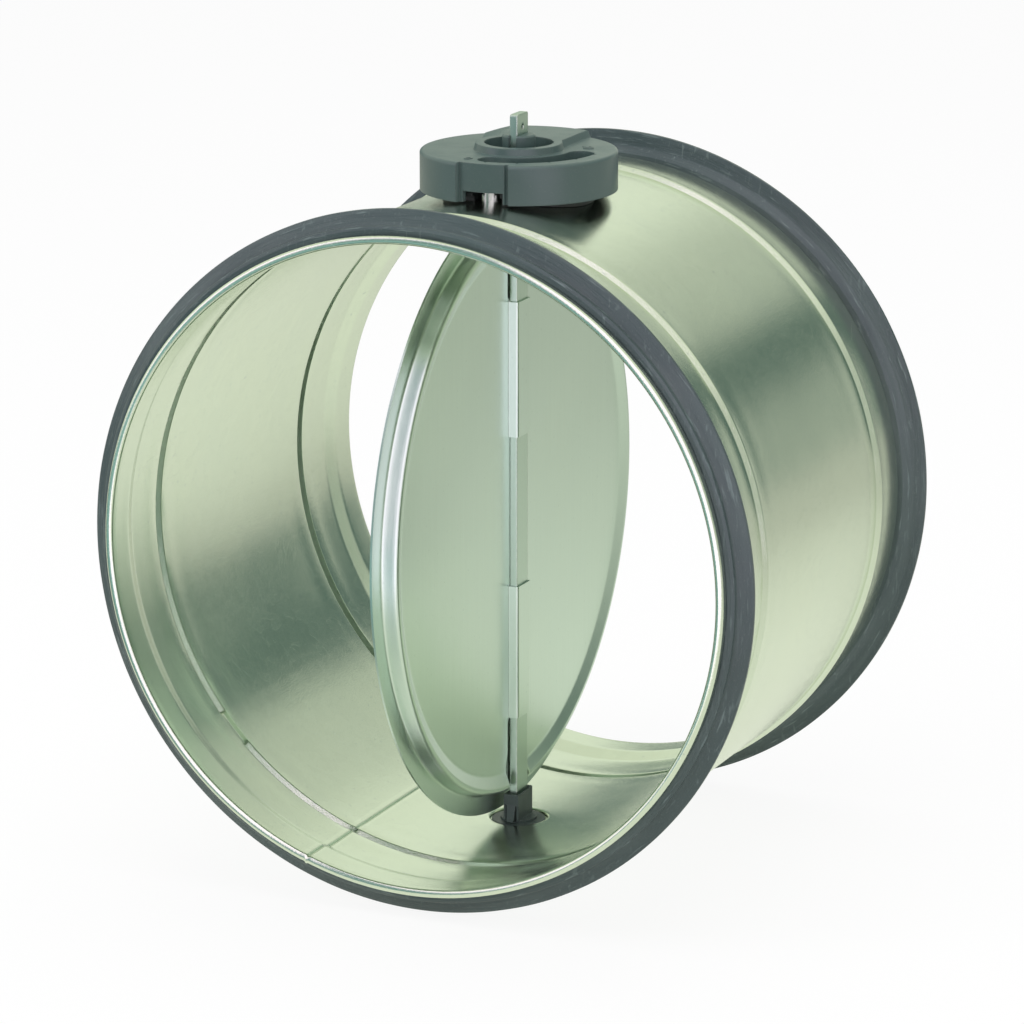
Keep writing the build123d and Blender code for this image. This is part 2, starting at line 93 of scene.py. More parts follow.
# node helpers
def addNode(tree, kind, place, inputs=None, **settings):
    made = tree.nodes.new("ShaderNode" + kind)
    made.location = place
    for name, value in settings.items():
        setattr(made, name, value)
    for name, value in (inputs or {}).items():
        made.inputs[name].default_value = value
    return made


def addRamp(tree, place, span, kind="LINEAR"):
    # span is where the ramp starts and ends, then what it gives at both
    labels = ("From Min", "From Max", "To Min", "To Max")
    return addNode(tree, "MapRange", place, dict(zip(labels, span)), interpolation_type=kind)


def wire(tree, *links):
    # each link is a node, its output, the next node and its input
    for start, output, end, entry in links:
        tree.links.new(start.outputs[output], end.inputs[entry])


def newGroup(name, inputs, outputs):
    group = bpy.data.node_groups.new(name, "ShaderNodeTree")
    for label, kind, value in inputs:
        socket = group.interface.new_socket(name=label, in_out="INPUT", socket_type="NodeSocket" + kind)
        socket.default_value = value
    for label, kind in outputs:
        group.interface.new_socket(name=label, in_out="OUTPUT", socket_type="NodeSocket" + kind)
    start, end = group.nodes.new("NodeGroupInput"), group.nodes.new("NodeGroupOutput")
    start.location, end.location = (-900, 0), (700, 0)
    return group, start, end


def useGroup(tree, group, place, **values):
    made = addNode(tree, "Group", place, node_tree=group)
    for name, value in values.items():
        made.inputs[name].default_value = value
    return made


def newMaterial(name):
    material = bpy.data.materials.new(name)
    material.use_nodes = True
    tree = material.node_tree
    shader = tree.nodes["Principled BSDF"]
    shader.location = (300, 0)
    return material, tree, shader


# spangle and grain of hot dipped zinc
def buildZincGroup():
    group, start, end = newGroup(
        "zincGrain",
        [("Crystals", "Float", 160.0), ("Grain", "Float", 1100.0)],
        [("Tone", "Float"), ("Height", "Float"), ("Specks", "Float")])
    place = addNode(group, "TexCoord", (-900, -300))
    bend = addNode(group, "TexNoise", (-700, 200), {"Scale": 90.0, "Detail": 2.0})
    bent = addNode(group, "VectorMath", (-500, 100), {1: (0.006, 0.006, 0.006)}, operation="MULTIPLY_ADD")
    cells = addNode(group, "TexVoronoi", (-300, 200))
    fine = addNode(group, "TexNoise", (-300, -100), {"Detail": 3.0, "Roughness": 0.7})
    tone = addNode(group, "Mix", (0, 200), {"Factor": 0.7})
    soft = addNode(group, "TexNoise", (-300, -350), {"Scale": 14.0, "Detail": 2.0})
    blend = addNode(group, "Mix", (200, 100), {"Factor": 0.3})
    dark = addRamp(group, (100, -300), (0.765, 0.83))
    dots = addNode(group, "TexNoise", (-300, -600), {"Scale": 620.0, "Detail": 0.0})
    split = addNode(group, "SeparateColor", (-100, 300))
    wire(group, (place, "Object", bend, "Vector"), (bend, "Color", bent, 0), (place, "Object", bent, 2),
         (bent, 0, cells, "Vector"), (start, "Crystals", cells, "Scale"),
         (place, "Object", fine, "Vector"), (place, "Object", soft, "Vector"),
         (place, "Object", dots, "Vector"), (start, "Grain", fine, "Scale"),
         (cells, "Color", split, "Color"), (split, "Red", tone, "A"), (fine, "Fac", tone, "B"),
         (tone, "Result", blend, "A"), (soft, "Fac", blend, "B"), (dots, "Fac", dark, "Value"),
         (blend, "Result", end, "Tone"), (fine, "Fac", end, "Height"), (dark, "Result", end, "Specks"))
    return group


# faint streaks left along one direction by rolling, pressing or drawing
def buildStreakGroup():
    group, start, end = newGroup(
        "drawnStreaks",
        [("Across", "Vector", (900.0, 900.0, 12.0))],
        [("Streak", "Float")])
    place = addNode(group, "TexCoord", (-900, -300))
    stretch = addNode(group, "VectorMath", (-600, 0), operation="MULTIPLY")
    thin = addNode(group, "TexNoise", (-300, 100), {"Scale": 1.0, "Detail": 4.0, "Roughness": 0.65})
    wire(group, (place, "Object", stretch, 0), (start, "Across", stretch, 1),
         (stretch, 0, thin, "Vector"), (thin, "Fac", end, "Streak"))
    return group


# marks that run round the duct, left by rolling the sheet and by pushing ducts on
def buildTurnedGroup():
    group, start, end = newGroup(
        "turnedStreaks",
        [("Round", "Float", 8.0), ("Along", "Float", 900.0)],
        [("Streak", "Float"), ("Line", "Float"), ("Patch", "Float")])
    place = addNode(group, "TexCoord", (-1500, -300))
    flat = addNode(group, "VectorMath", (-1300, -300), {1: (1, 0, 1)}, operation="MULTIPLY")
    reach = addNode(group, "VectorMath", (-1100, -450), operation="LENGTH")
    heading = addNode(group, "VectorMath", (-1100, -300), operation="NORMALIZE")
    scaled = addNode(group, "VectorMath", (-900, -300), operation="SCALE")
    depth = addNode(group, "Math", (-900, -500), operation="MULTIPLY")
    split = addNode(group, "SeparateXYZ", (-1300, 0))
    along = addNode(group, "Math", (-900, 0), operation="MULTIPLY")
    lift = addNode(group, "CombineXYZ", (-700, 0))
    spot = addNode(group, "VectorMath", (-500, -100), operation="ADD")
    thin = addNode(group, "TexNoise", (-250, 100), {"Scale": 1.0, "Detail": 3.0, "Roughness": 0.6},
                   noise_dimensions="4D")
    wide = addNode(group, "TexNoise", (-250, -200), {"Scale": 0.22, "Detail": 2.0},
                   noise_dimensions="4D")
    cut = addRamp(group, (100, -50), (0.6, 0.7))
    patchCut = addRamp(group, (100, -300), (0.42, 0.68))
    wire(group, (place, "Object", flat, 0), (place, "Object", split, 0), (flat, 0, reach, 0),
         (flat, 0, heading, 0), (heading, 0, scaled, 0), (start, "Round", scaled, "Scale"),
         (reach, "Value", depth, 0), (start, "Along", depth, 1), (split, "Y", along, 0),
         (start, "Along", along, 1), (along, 0, lift, "Y"), (scaled, 0, spot, 0), (lift, 0, spot, 1))
    for texture in (thin, wide):
        wire(group, (spot, 0, texture, "Vector"), (depth, 0, texture, "W"))
    wire(group, (thin, "Fac", cut, "Value"), (wide, "Fac", patchCut, "Value"),
         (thin, "Fac", end, "Streak"), (cut, "Result", end, "Line"), (patchCut, "Result", end, "Patch"))
    return group


# smudges, scuffs and settled dust
def buildScuffGroup():
    group, start, end = newGroup(
        "scuffs",
        [("Patch", "Float", 30.0), ("Scratch", "Vector", (60.0, 900.0, 900.0))],
        [("Smudge", "Float"), ("Scuff", "Float"), ("Dust", "Float")])
    place = addNode(group, "TexCoord", (-900, -300))
    patch = addNode(group, "TexNoise", (-600, 200), {"Detail": 5.0, "Roughness": 0.6})
    patchCut = addRamp(group, (-300, 200), (0.42, 0.68))
    stretch = addNode(group, "VectorMath", (-600, -100), operation="MULTIPLY")
    lines = addNode(group, "TexNoise", (-400, -100), {"Scale": 1.0, "Detail": 3.0})
    lineCut = addRamp(group, (-100, -100), (0.6, 0.72))
    both = addNode(group, "Math", (200, -50), operation="MULTIPLY")
    dust = addNode(group, "TexNoise", (-600, -400), {"Scale": 1600.0, "Detail": 1.0})
    dustCut = addRamp(group, (-300, -400), (0.66, 0.74))
    wire(group, (place, "Object", patch, "Vector"), (start, "Patch", patch, "Scale"),
         (patch, "Fac", patchCut, "Value"), (place, "Object", stretch, 0),
         (start, "Scratch", stretch, 1), (stretch, 0, lines, "Vector"),
         (lines, "Fac", lineCut, "Value"), (lineCut, "Result", both, 0), (patchCut, "Result", both, 1),
         (place, "Object", dust, "Vector"), (dust, "Fac", dustCut, "Value"),
         (patchCut, "Result", end, "Smudge"), (both, 0, end, "Scuff"), (dustCut, "Result", end, "Dust"))
    return group


# even grain of a moulded surface
def buildMouldGroup():
    group, start, end = newGroup(
        "mouldGrain",
        [("Grain", "Float", 2400.0), ("Flow", "Float", 22.0)],
        [("Height", "Float"), ("Mottle", "Float")])
    place = addNode(group, "TexCoord", (-900, -300))
    pits = addNode(group, "TexNoise", (-500, 100), {"Detail": 2.0, "Roughness": 0.6})
    flow = addNode(group, "TexNoise", (-500, -200), {"Detail": 3.0, "Distortion": 1.2})
    wire(group, (place, "Object", pits, "Vector"), (place, "Object", flow, "Vector"),
         (start, "Grain", pits, "Scale"), (start, "Flow", flow, "Scale"), (pits, "Fac", end, "Height"),
         (flow, "Fac", end, "Mottle"))
    return group


# rubbed and rounded edges: where a rounded normal leaves the true one
def buildEdgeGroup():
    group, start, end = newGroup(
        "edgeRub",
        [("Radius", "Float", 0.0005), ("Breakup", "Float", 500.0)],
        [("Rub", "Float"), ("Normal", "Vector")])
    place = addNode(group, "TexCoord", (-900, -300))
    rounded = addNode(group, "Bevel", (-600, 200), samples=4)
    plain = addNode(group, "NewGeometry", (-600, 0))
    gap = addNode(group, "VectorMath", (-300, 150), operation="DOT_PRODUCT")
    cut = addRamp(group, (-100, 150), (0.98, 0.8))
    spots = addNode(group, "TexNoise", (-300, -200), {"Detail": 3.0})
    spotCut = addRamp(group, (-100, -200), (0.35, 0.65))
    both = addNode(group, "Math", (200, 0), operation="MULTIPLY")
    wire(group, (start, "Radius", rounded, "Radius"), (rounded, "Normal", gap, 0),
         (plain, "Normal", gap, 1), (gap, "Value", cut, "Value"), (place, "Object", spots, "Vector"),
         (start, "Breakup", spots, "Scale"), (spots, "Fac", spotCut, "Value"), (cut, "Result", both, 0),
         (spotCut, "Result", both, 1), (both, 0, end, "Rub"), (rounded, "Normal", end, "Normal"))
    return group


zincGroup = buildZincGroup()
streakGroup = buildStreakGroup()
turnedGroup = buildTurnedGroup()
scuffGroup = buildScuffGroup()
mouldGroup = buildMouldGroup()
edgeGroup = buildEdgeGroup()
print("shader groups built")


def addBump(tree, place, height):
    return addNode(tree, "Bump", place, {"Strength": 1.0, "Distance": height})


def mixColor(tree, place, low, high):
    made = addNode(tree, "Mix", place, data_type="RGBA")
    made.inputs["A"].default_value = (*low, 1)
    made.inputs["B"].default_value = (*high, 1)
    return made


def zincMaterial(name, values):
    # galvanised sheet: bright grain, soft spangle, a few dark specks
    material, tree, shader = newMaterial(name)
    grain = useGroup(tree, zincGroup, (-900, 200), Crystals=values["crystals"], Grain=values["grain"])
    streaks = useGroup(tree, streakGroup, (-900, -150), Across=values["streaks"])
    scuffs = useGroup(tree, scuffGroup, (-900, -400), Patch=values["patch"], Scratch=values["scratch"])
    tone = mixColor(tree, (-600, 250), values["dark"], values["light"])
    worn = mixColor(tree, (-350, 250), values["light"], values["smudge"])
    speck = mixColor(tree, (-120, 250), values["light"], values["speck"])
    smudgeAmount = addNode(tree, "Math", (-600, 0), {1: values["smudgeAmount"]}, operation="MULTIPLY")
    rough = addRamp(tree, (-350, -50), (0, 1, *values["roughness"]))
    mixed = addNode(tree, "Mix", (-600, -150), {"Factor": values["streakAmount"]})
    ripple = addNode(tree, "TexNoise", (-900, -650), {"Scale": values["ripple"], "Detail": 1.0})
    place = addNode(tree, "TexCoord", (-1100, -650))
    waves = addBump(tree, (-350, -500), values["rippleHeight"])
    bump = addBump(tree, (-120, -350), values["grainHeight"])
    wire(tree, (grain, "Tone", mixed, "A"), (streaks, "Streak", mixed, "B"),
         (mixed, "Result", tone, "Factor"), (scuffs, "Smudge", smudgeAmount, 0),
         (smudgeAmount, 0, worn, "Factor"), (tone, "Result", worn, "A"), (worn, "Result", speck, "A"),
         (grain, "Specks", speck, "Factor"), (mixed, "Result", rough, "Value"),
         (place, "Object", ripple, "Vector"), (ripple, "Fac", waves, "Height"),
         (mixed, "Result", bump, "Height"), (waves, "Normal", bump, "Normal"),
         (speck, "Result", shader, "Base Color"), (rough, "Result", shader, "Roughness"),
         (bump, "Normal", shader, "Normal"))
    shader.inputs["Metallic"].default_value = 1.0
    return material


casingZinc = {"crystals": 210.0, "grain": 1500.0, "streaks": (260.0, 20.0, 260.0), "streakAmount": 0.15,
              "patch": 22.0, "scratch": (500.0, 70.0, 500.0),
              "dark": (0.695, 0.76, 0.65), "light": (0.79, 0.855, 0.735), "smudge": (0.71, 0.78, 0.70),
              "smudgeAmount": 0.25, "speck": (0.67, 0.735, 0.655), "roughness": (0.12, 0.24),
              "ripple": 9.0, "rippleHeight": 0.0012, "grainHeight": 0.00012}
bladeZinc = {"crystals": 190.0, "grain": 1300.0, "streaks": (420.0, 420.0, 15.0), "streakAmount": 0.6,
             "patch": 16.0, "scratch": (500.0, 500.0, 60.0),
             "dark": (0.605, 0.715, 0.64), "light": (0.695, 0.81, 0.73), "smudge": (0.63, 0.745, 0.69),
             "smudgeAmount": 0.3, "speck": (0.61, 0.72, 0.65), "roughness": (0.24, 0.36),
             "ripple": 14.0, "rippleHeight": 0.0006, "grainHeight": 0.00005}
casingMaterial = zincMaterial("casingZinc", casingZinc)
bladeMaterial = zincMaterial("bladeZinc", bladeZinc)


def platedMaterial(name, values):
    # bright plated or plain steel, rubbed at the edges
    material, tree, shader = newMaterial(name)
    streaks = useGroup(tree, streakGroup, (-700, 0), Across=values["streaks"])
    edges = useGroup(tree, edgeGroup, (-700, -300), Radius=values["edge"], Breakup=700.0)
    tone = mixColor(tree, (-400, 200), values["dark"], values["light"])
    worn = mixColor(tree, (-150, 200), values["light"], values["worn"])
    rough = addRamp(tree, (-400, -50), (0, 1, *values["roughness"]))
    bump = addBump(tree, (-150, -250), values["grainHeight"])
    wire(tree, (streaks, "Streak", tone, "Factor"), (tone, "Result", worn, "A"),
         (edges, "Rub", worn, "Factor"), (streaks, "Streak", rough, "Value"),
         (streaks, "Streak", bump, "Height"), (edges, "Normal", bump, "Normal"),
         (worn, "Result", shader, "Base Color"), (rough, "Result", shader, "Roughness"),
         (bump, "Normal", shader, "Normal"))
    shader.inputs["Metallic"].default_value = 1.0
    return material


barSteel = {"streaks": (700.0, 700.0, 16.0), "edge": 0.0009, "dark": (0.50, 0.62, 0.54),
            "light": (0.62, 0.74, 0.65), "worn": (0.75, 0.8, 0.74), "roughness": (0.25, 0.42),
            "grainHeight": 0.00005}
screwSteel = {"streaks": (900.0, 900.0, 900.0), "edge": 0.00025, "dark": (0.50, 0.53, 0.50),
              "light": (0.66, 0.70, 0.66), "worn": (0.85, 0.87, 0.84), "roughness": (0.16, 0.3),
              "grainHeight": 0.00003}
ringSteel = {"streaks": (900.0, 900.0, 900.0), "edge": 0.0002, "dark": (0.30, 0.33, 0.31),
             "light": (0.42, 0.45, 0.43), "worn": (0.6, 0.62, 0.6), "roughness": (0.3, 0.45),
             "grainHeight": 0.00003}
barMaterial = platedMaterial("barSteel", barSteel)
screwMaterial = platedMaterial("screwSteel", screwSteel)
ringMaterial = platedMaterial("ringSteel", ringSteel)


def rubberMaterial(name, values):
    # extruded rubber: satin, scuffed along its length, dusty in places
    material, tree, shader = newMaterial(name)
    grain = useGroup(tree, mouldGroup, (-900, 200), Grain=values["grain"], Flow=values["flow"])
    scuffs = useGroup(tree, scuffGroup, (-900, -150), Patch=values["patch"], Scratch=values["scratch"])
    rubbed = useGroup(tree, turnedGroup, (-1150, 0), Round=values["round"], Along=values["along"])
    tone = mixColor(tree, (-600, 250), values["dark"], values["light"])
    scuffed = mixColor(tree, (-350, 250), values["light"], values["scuff"])
    mixed = addNode(tree, "Math", (-800, 350), {1: 0.5}, operation="MULTIPLY_ADD")
    lines = addNode(tree, "Math", (-750, 50), operation="MAXIMUM")
    grooves = addBump(tree, (-350, -500), values["grooveHeight"])
    dusty = mixColor(tree, (-120, 250), values["light"], values["dust"])
    scuffAmount = addNode(tree, "Math", (-600, 0), {1: values["scuffAmount"]}, operation="MULTIPLY")
    dustAmount = addNode(tree, "Math", (-600, -200), {1: values["dustAmount"]}, operation="MULTIPLY")
    rough = addRamp(tree, (-350, -50), (0, 1, *values["roughness"]))
    bump = addBump(tree, (-120, -350), values["grainHeight"])
    wire(tree, (grain, "Mottle", mixed, 0), (rubbed, "Patch", mixed, 2), (mixed, 0, tone, "Factor"),
         (scuffs, "Scuff", lines, 0), (rubbed, "Line", lines, 1), (lines, 0, scuffAmount, 0),
         (scuffAmount, 0, scuffed, "Factor"), (tone, "Result", scuffed, "A"),
         (scuffs, "Dust", dustAmount, 0), (dustAmount, 0, dusty, "Factor"),
         (scuffed, "Result", dusty, "A"), (scuffs, "Smudge", rough, "Value"),
         (rubbed, "Streak", grooves, "Height"), (grooves, "Normal", bump, "Normal"),
         (grain, "Height", bump, "Height"), (dusty, "Result", shader, "Base Color"),
         (rough, "Result", shader, "Roughness"), (bump, "Normal", shader, "Normal"))
    return material


gasketRubber = {"grain": 1800.0, "flow": 30.0, "patch": 28.0, "scratch": (700.0, 900.0, 60.0),
                "round": 9.0, "along": 700.0, "grooveHeight": 0.00035,
                "dark": (0.052, 0.078, 0.082), "light": (0.088, 0.122, 0.124), "scuff": (0.2, 0.26, 0.26),
                "scuffAmount": 0.7, "dust": (0.2, 0.23, 0.22), "dustAmount": 0.25,
                "roughness": (0.28, 0.46), "grainHeight": 0.00006}
sealRubber = {"grain": 1800.0, "flow": 60.0, "patch": 60.0, "scratch": (700.0, 700.0, 700.0),
              "round": 9.0, "along": 700.0, "grooveHeight": 0.00005,
              "dark": (0.012, 0.013, 0.013), "light": (0.02, 0.021, 0.021), "scuff": (0.05, 0.05, 0.05),
              "scuffAmount": 0.2, "dust": (0.1, 0.1, 0.1), "dustAmount": 0.1,
              "roughness": (0.3, 0.45), "grainHeight": 0.00003}
gasketMaterial = rubberMaterial("gasketRubber", gasketRubber)
sealMaterial = rubberMaterial("sealRubber", sealRubber)


def plasticMaterial(name, values):
    # moulded plastic: fine texture, flow mottle, paler rubbed edges
    material, tree, shader = newMaterial(name)
    grain = useGroup(tree, mouldGroup, (-900, 200), Grain=values["grain"], Flow=values["flow"])
    edges = useGroup(tree, edgeGroup, (-900, -100), Radius=values["edge"], Breakup=450.0)
    scuffs = useGroup(tree, scuffGroup, (-900, -400), Patch=values["patch"], Scratch=values["scratch"])
    tone = mixColor(tree, (-600, 250), values["dark"], values["light"])
    worn = mixColor(tree, (-350, 250), values["light"], values["worn"])
    dusty = mixColor(tree, (-120, 250), values["light"], values["dust"])
    wearAmount = addNode(tree, "Math", (-600, 0), {1: values["wearAmount"]}, operation="MULTIPLY")
    dustAmount = addNode(tree, "Math", (-600, -250), {1: values["dustAmount"]}, operation="MULTIPLY")
    rough = addRamp(tree, (-350, -100), (0, 1, *values["roughness"]))
    bump = addBump(tree, (-120, -350), values["grainHeight"])
    wire(tree, (grain, "Mottle", tone, "Factor"), (edges, "Rub", wearAmount, 0),
         (wearAmount, 0, worn, "Factor"), (tone, "Result", worn, "A"), (scuffs, "Dust", dustAmount, 0),
         (dustAmount, 0, dusty, "Factor"), (worn, "Result", dusty, "A"),
         (scuffs, "Smudge", rough, "Value"), (grain, "Height", bump, "Height"),
         (edges, "Normal", bump, "Normal"), (dusty, "Result", shader, "Base Color"),
         (rough, "Result", shader, "Roughness"), (bump, "Normal", shader, "Normal"))
    return material


knobPlastic = {"grain": 2600.0, "flow": 30.0, "patch": 60.0, "scratch": (700.0, 700.0, 700.0), "edge": 0.0007,
               "dark": (0.084, 0.132, 0.126), "light": (0.10, 0.152, 0.145), "worn": (0.24, 0.3, 0.28),
               "wearAmount": 0.25, "dust": (0.3, 0.34, 0.32), "dustAmount": 0.12,
               "roughness": (0.3, 0.4), "grainHeight": 0.00002}
# knob base: plastic darkened to near black, a painted shade for the shadowed gap under the knob
basePlasticPaintedShade = {"grain": 2600.0, "flow": 30.0, "patch": 60.0, "scratch": (700.0, 700.0, 700.0), "edge": 0.0004,
               "dark": (0.022, 0.028, 0.027), "light": (0.035, 0.043, 0.041), "worn": (0.1, 0.12, 0.11),
               "wearAmount": 0.3, "dust": (0.2, 0.22, 0.21), "dustAmount": 0.2,
               "roughness": (0.4, 0.55), "grainHeight": 0.00005}
bearingPlastic = {"grain": 2600.0, "flow": 40.0, "patch": 60.0, "scratch": (700.0, 700.0, 700.0),
                  "edge": 0.0004, "dark": (0.082, 0.108, 0.105), "light": (0.105, 0.137, 0.132),
                  "worn": (0.22, 0.26, 0.25), "wearAmount": 0.35, "dust": (0.3, 0.33, 0.31),
                  "dustAmount": 0.15, "roughness": (0.35, 0.5), "grainHeight": 0.00004}
knobMaterial = plasticMaterial("knobPlastic", knobPlastic)
basePaintedShadeMaterial = plasticMaterial("basePlasticPaintedShade", basePlasticPaintedShade)
bearingMaterial = plasticMaterial("bearingPlastic", bearingPlastic)
print("materials built")

nodeFinish = {"casing": casingMaterial, "blade": bladeMaterial, "shaft": barMaterial,
              "front_gasket": gasketMaterial, "rear_gasket": gasketMaterial,
              "upper_bearing": bearingMaterial, "lower_bearing": bearingMaterial,
              "upper_bar_holder": bearingMaterial, "lower_bar_holder": bearingMaterial,
              "upper_o_ring": sealMaterial, "lower_o_ring": sealMaterial,
              "upper_retainer": ringMaterial, "lower_retainer": ringMaterial,
              "knob": knobMaterial, "knob_base": basePaintedShadeMaterial, "base_rivets": screwMaterial,
              "threaded_sleeve": screwMaterial, "locking_screw": screwMaterial,
              "lock_washer": screwMaterial, "lock_spring_washer": ringMaterial}


def finishNode(name, material):
    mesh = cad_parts[name].data
    mesh.materials.clear()
    mesh.materials.append(material)


for nodeName, finish in nodeFinish.items():
    finishNode(nodeName, finish)
print("nodes finished")


# pressed sheet and rubber helpers
def roundedLine(points, bends, steps=5):
    # straight runs joined by arcs, in the plane of the points
    corners = [Vector(point) for point in points]
    line = [corners[0]]
    for before, corner, after, bend in zip(corners, corners[1:], corners[2:], bends):
        back, ahead = (before - corner).normalized(), (after - corner).normalized()
        half = back.angle(ahead) / 2
        start, end = corner + back * bend / math.tan(half), corner + ahead * bend / math.tan(half)
        centre = corner + (back + ahead).normalized() * bend / math.sin(half)
        for step in range(steps + 1):
            spoke = (start - centre).lerp(end - centre, step / steps)
            line.append(centre + spoke.normalized() * bend)
    return line + [corners[-1]]


def spreadLine(line, gap):
    # extra points so that no stretch is longer than gap
    spread = [line[0]]
    for start, end in zip(line, line[1:]):
        count = max(1, math.ceil((end - start).length / gap - 0.01))
        spread += [start.lerp(end, (step + 1) / count) for step in range(count)]
    return spread


def smooth(low, high, value):
    share = min(max((value - low) / (high - low), 0), 1)
    return share * share * (3 - 2 * share)


def hump(value, middle, width):
    return math.exp(-((value - middle) / width) ** 2)


def finishMesh(name, form, material, body, node, wall=0.0, sharp=40.0):
    # turns a bmesh in millimetres into a piece that stands for a CAD node
    bmesh.ops.scale(form, vec=(mm, mm, mm), verts=form.verts)
    mesh = bpy.data.meshes.new(name)
    form.to_mesh(mesh)
    form.free()
    piece = bpy.data.objects.new(name, mesh)
    scene.collection.objects.link(piece)
    mesh.materials.append(material)
    if wall:
        thick = piece.modifiers.new("wall", "SOLIDIFY")
        thick.thickness = wall * mm
        thick.offset = 0
        thick.use_even_offset = True
    bpy.context.view_layer.objects.active = piece
    piece.select_set(True)
    if wall:
        bpy.ops.object.modifier_apply(modifier="wall")
    for face in mesh.polygons:
        face.use_smooth = True
    mesh.set_sharp_from_angle(angle=math.radians(sharp))
    piece.select_set(False)
    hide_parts(node)
    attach(piece, body)
    return piece


# casing: one rolled sheet, hemmed at both ends, with gasket seats, stop beads and the fold of a seam;
# lengths are in millimetres, angles in degrees from +X towards +Z
casingShape = {"wall": 0.7, "hemLength": 3.5, "hemDepth": 3.1, "seatLength": 13.8, "stepLength": 6.4,
               "beadPlace": 42.2, "beadWidth": 4.6, "beadCrest": 0.9, "beadHeight": 1.5, "bend": 0.75,
               "seatBend": 6.0, "standOff": 2.0, "rowGap": 3.19, "columnStep": 1.5, "seamAngle": -109.7,
               "turnPerMm": 0.462, "seamLines": (-3.4, -3.0, -2.6, -1.1, -0.75, -0.45, -0.2, 0.05, 0.3,
                                                 0.6, 1.1, 2.6, 3.0, 3.4),
               "foldGroove": 0.42, "flatFrom": -141.8, "flatTo": -135.2, "flatShare": 0.3, "flatBlend": 0.3,
               "seatRadius": 11.55, "seatDepth": 1.2, "holeRadius": 9.15, "patchCells": 6,
               "seatSteps": ((-0.45, 1), (-0.12, 0.85), (0, 0.5), (0.12, 0.15), (0.5, 0), (1.6, 0)),
               "beadDip": 0.2, "dipPlace": 6.2, "dipWidth": 2.2,
               "beadSwell": 0.07, "swellPlace": 13, "swellWidth": 3.5, "handDents": 0.16, "beadChatter": 0.05}


def casingRows(shape, tube, length):
    # middle of the sheet from the front end to the rear one, as (distance, radius)
    middle = shape["wall"] / 2
    seat = tube + middle - shape["hemDepth"] + shape["wall"] / 2
    bead = shape["beadPlace"]
    half = [(shape["hemLength"], tube), (middle, tube), (middle, seat), (shape["seatLength"], seat),
            (shape["seatLength"] + shape["stepLength"], tube), (bead - shape["beadWidth"] / 2, tube),
            (bead - shape["beadCrest"] / 2, tube + shape["beadHeight"]),
            (bead + shape["beadCrest"] / 2, tube + shape["beadHeight"]),
            (bead + shape["beadWidth"] / 2, tube)]
    hemBend = (tube - seat) / 2 - 0.02
    bends = [hemBend, hemBend] + [shape["seatBend"]] * 2 + [shape["bend"]] * (len(half) - 5)
    path = half + [(length - along, radius) for along, radius in reversed(half)]
    return spreadLine(roundedLine(path, bends + bends[::-1]), shape["rowGap"])


def casingColumns(shape):
    # angles round the duct, closer together at the seam and at the flattened stretch of bead
    step, seam = shape["columnStep"], shape["seamAngle"]
    fine = [seam + offset * shape["turnPerMm"] for offset in shape["seamLines"]]
    for edge in (shape["flatFrom"], shape["flatTo"]):
        fine += [edge + offset for offset in (-0.45, -0.15, 0.15, 0.45)]
    regular = [-180 + step * index for index in range(round(360 / step))]
    spaced = [angle for angle in regular if all(abs(angle - other) > step / 3 for other in fine)]
    return sorted(spaced + fine)


def casingSwell(shape, along, length, angle, radius, tube):
    # how far the sheet stands off its true radius
    fromEnd = min(along, length - along)
    front = along < length / 2
    fromBead = abs(fromEnd - shape["beadPlace"])
    turn = math.radians(angle)
    around = Vector((math.cos(turn), math.sin(turn), along * 0.008 + 3))
    free = smooth(shape["hemLength"], shape["hemLength"] + 3, fromEnd)
    swell = shape["handDents"] * free * noise.noise(around * 2.1)
    swell += 0.3 * shape["handDents"] * free * noise.noise(around * 6.3 + Vector((7, 0, 0)))
    uneven = 0.8 + 0.5 * noise.noise(around * 3 + Vector((0, 5, 0)))
    swell -= shape["beadDip"] * uneven * hump(fromBead, shape["dipPlace"], shape["dipWidth"])
    swell += shape["beadSwell"] * uneven * hump(fromBead, shape["swellPlace"], shape["swellWidth"])
    beadShare = max(0, radius - tube) if fromBead < shape["beadWidth"] else 0
    if front:
        blend = shape["flatBlend"]
        flat = smooth(shape["flatFrom"] - blend, shape["flatFrom"] + blend, angle)
        flat *= 1 - smooth(shape["flatTo"] - blend, shape["flatTo"] + blend, angle)
        swell -= beadShare * flat * (1 - shape["flatShare"])
        chatter = noise.noise(Vector((angle * 1.4, along * 0.7, 2)))
        swell += shape["beadChatter"] * chatter * (1 if beadShare else 0)
    fromSeam = (angle - shape["seamAngle"]) / shape["turnPerMm"]
    if abs(fromSeam) < 4:
        swell += shape["foldGroove"] * hump(fromSeam, 0.05, 0.42) - 0.16 * hump(fromSeam, -1.0, 0.5)
        swell -= 0.4 * hump(fromSeam, 0, 1.0) * (hump(fromBead, 0, 2.4) + hump(fromEnd, 17, 1.6))
    return swell


